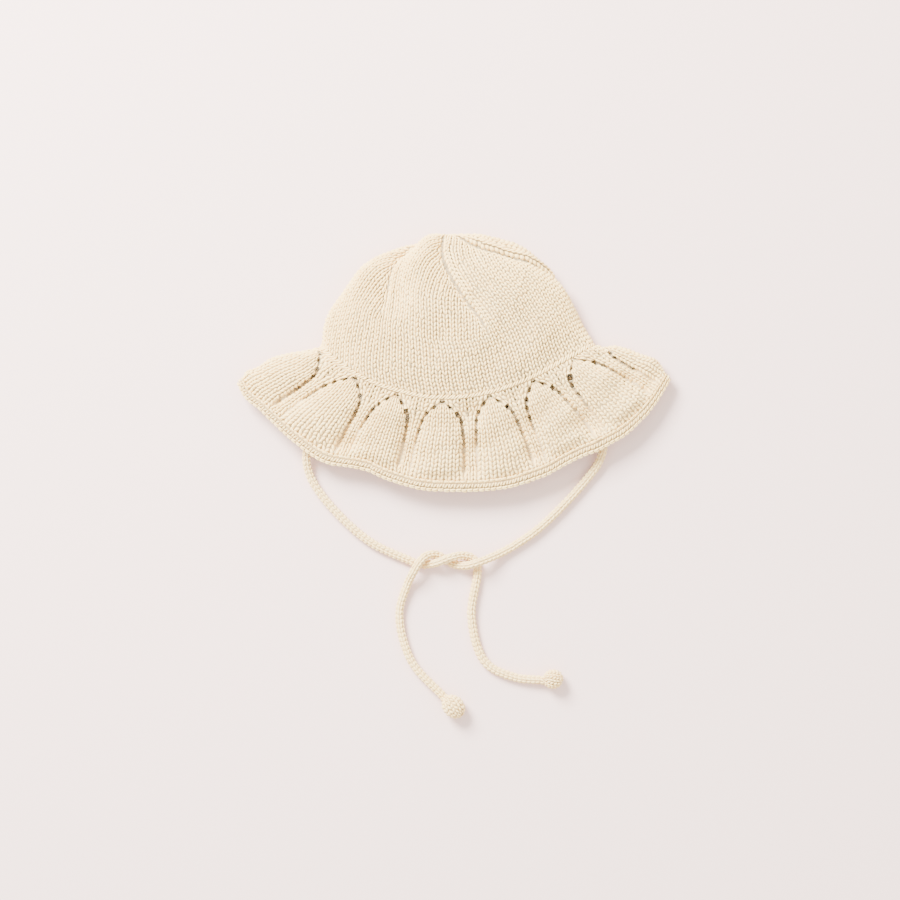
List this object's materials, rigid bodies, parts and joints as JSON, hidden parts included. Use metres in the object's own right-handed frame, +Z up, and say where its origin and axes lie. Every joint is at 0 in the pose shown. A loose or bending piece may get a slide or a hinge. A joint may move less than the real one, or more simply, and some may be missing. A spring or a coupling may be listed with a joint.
{
  "type": "knitted sun hat with ties",
  "caption": "Knitted child's sun hat lying flat: soft gathered crown, ruffled brim with eyelet arches, rolled hem, and knitted ties crossed in a half knot, each ending in a bobble.",
  "frame": {"origin": "on the surface that the hat lies on, under the middle of the bounding box of crown, brim and hem", "axes": "+X across the hat towards the side fold on the right of the view, +Y towards the crown's tip, +Z up from the surface, out of the front of the hat"},
  "size_m": [0.3118, 0.3503, 0.038],
  "materials": {
    "crown_knit": "cream cotton yarn, matt, plain stockinette knit",
    "brim_knit": "cream cotton yarn, matt, knitted petals between eyelet arches",
    "hem_knit": "cream cotton yarn, matt, folded knitted hem with a chain of stitches",
    "tie_knit": "cream cotton yarn, matt, knitted cord",
    "bobble_knit": "cream cotton yarn, matt, knitted ball"
  },
  "bodies": {
    "root": {"crown": "crown_knit", "brim": "brim_knit", "hem": "hem_knit", "tie_left": "tie_knit", "tie_right": "tie_knit", "bobble_left": "bobble_knit", "bobble_right": "bobble_knit"}
  },
  "joints": []
}
